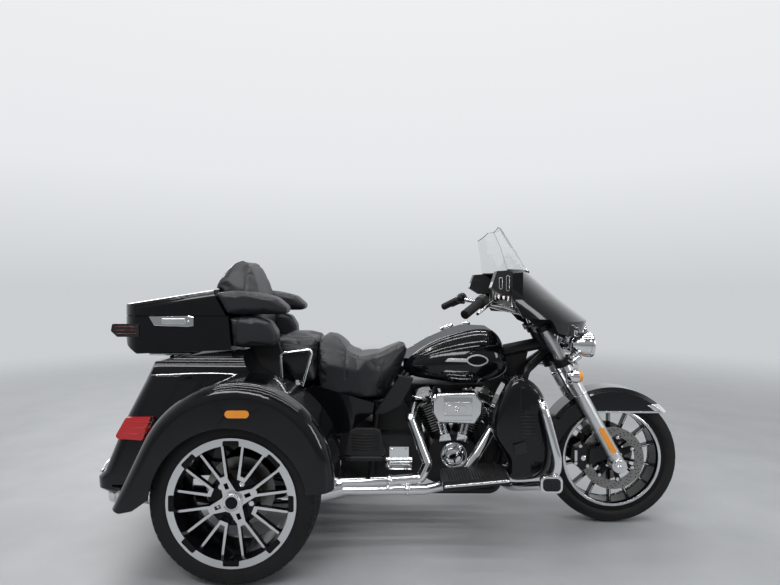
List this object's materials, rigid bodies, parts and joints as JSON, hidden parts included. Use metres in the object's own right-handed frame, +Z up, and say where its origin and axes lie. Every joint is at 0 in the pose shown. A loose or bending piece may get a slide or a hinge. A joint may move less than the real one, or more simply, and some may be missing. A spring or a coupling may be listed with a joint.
{
  "type": "motorized trike",
  "caption": "Touring trike with a forked front wheel, wide rear wheels, V-twin engine, bowed handlebar fairing, luggage case, rear trunk and seats for rider and passenger",
  "frame": {"origin": "on the floor under the centre of the bounding box", "axes": "+X forward, +Y to the left, +Z up"},
  "size_m": [2.6699, 1.39, 1.425],
  "materials": {
    "frame_black": "semi-gloss powder coat",
    "engine_black": "satin black engine coat",
    "chrome": "bright plated",
    "belt_rubber": "matt",
    "body_paint": "gloss black under clear coat",
    "seat_leather": "matt dark grey, stitched",
    "lamp_lens": "red moulded lens",
    "trim_black": "fine grain",
    "fork_metal": "satin",
    "grip_rubber": "ribbed, with bright end caps",
    "screen_clear": "clear moulded screen",
    "lamp_glass": "clear lens over a bright reflector",
    "caliper_black": "satin black",
    "tyre": "road rubber",
    "wheel_black": "gloss black with machined bright faces",
    "disc_steel": "ground face"
  },
  "bodies": {
    "chassis": {"frame": "frame_black", "rear_axle": "frame_black", "engine_cases": "engine_black", "cylinders": "engine_black", "engine_covers": "chrome", "air_cleaner": "chrome", "exhaust": "chrome", "drive_belt": "belt_rubber", "fuel_tank": "body_paint", "tank_console": "chrome", "rider_seat": "seat_leather", "passenger_seat": "seat_leather", "rear_body": "body_paint", "rear_fenders": "body_paint", "tail_lamps": "lamp_lens", "top_case": "body_paint", "arm_pods": "trim_black", "side_covers": "body_paint", "leg_shields": "body_paint", "engine_guard": "chrome", "luggage_rails": "chrome", "rider_footboards": "trim_black"},
    "steering": {"fork_legs": "fork_metal", "fork_clamps": "frame_black", "handlebar": "chrome", "hand_controls": "grip_rubber", "fairing_shell": "body_paint", "fairing_dash": "trim_black", "windscreen": "screen_clear", "headlamp": "lamp_glass", "passing_lamps": "chrome", "front_fender": "body_paint", "brake_calipers": "caliper_black"},
    "front_wheel_set": {"front_tyre": "tyre", "front_wheel": "wheel_black", "front_discs": "disc_steel"},
    "rear_wheel_set_right": {"rear_tyre_right": "tyre", "rear_wheel_right": "wheel_black"},
    "rear_wheel_set_left": {"rear_tyre_left": "tyre", "rear_wheel_left": "wheel_black"},
    "trunk_door": {"trunk_lid": "body_paint"},
    "case_lid": {"top_case_lid": "body_paint", "backrest": "seat_leather"},
    "board_right": {"passenger_board_right": "trim_black"},
    "board_left": {"passenger_board_left": "trim_black"}
  },
  "joints": [
    {"name": "steering_turn", "type": "hinge", "parent": "chassis", "child": "steering", "pos_m": [0.69137, 0, 0.87], "axis": [-0.4384, 0, 0.8988], "range_deg": [-30, 30]},
    {"name": "front_wheel_spin", "type": "hinge", "parent": "steering", "child": "front_wheel_set", "pos_m": [1.0157, 0, 0.3193], "axis": [0, 1, 0], "continuous": true},
    {"name": "rear_wheel_spin_right", "type": "hinge", "parent": "chassis", "child": "rear_wheel_set_right", "pos_m": [-0.6543, -0.545, 0.3253], "axis": [0, 1, 0], "continuous": true},
    {"name": "rear_wheel_spin_left", "type": "hinge", "parent": "chassis", "child": "rear_wheel_set_left", "pos_m": [-0.6543, 0.545, 0.3253], "axis": [0, 1, 0], "continuous": true},
    {"name": "trunk_lid_hinge", "type": "hinge", "parent": "chassis", "child": "trunk_door", "pos_m": [-1.135, 0, 0.771], "axis": [0, 1, 0], "range_deg": [0, 65]},
    {"name": "case_lid_hinge", "type": "hinge", "parent": "chassis", "child": "case_lid", "pos_m": [-1, 0.306, 1.016], "axis": [-1, 0, 0], "range_deg": [0, 80]},
    {"name": "board_fold_right", "type": "hinge", "parent": "chassis", "child": "board_right", "pos_m": [-0.16, -0.334, 0.4], "axis": [1, 0, 0], "range_deg": [0, 88]},
    {"name": "board_fold_left", "type": "hinge", "parent": "chassis", "child": "board_left", "pos_m": [-0.16, 0.334, 0.4], "axis": [-1, 0, 0], "range_deg": [0, 88]}
  ]
}
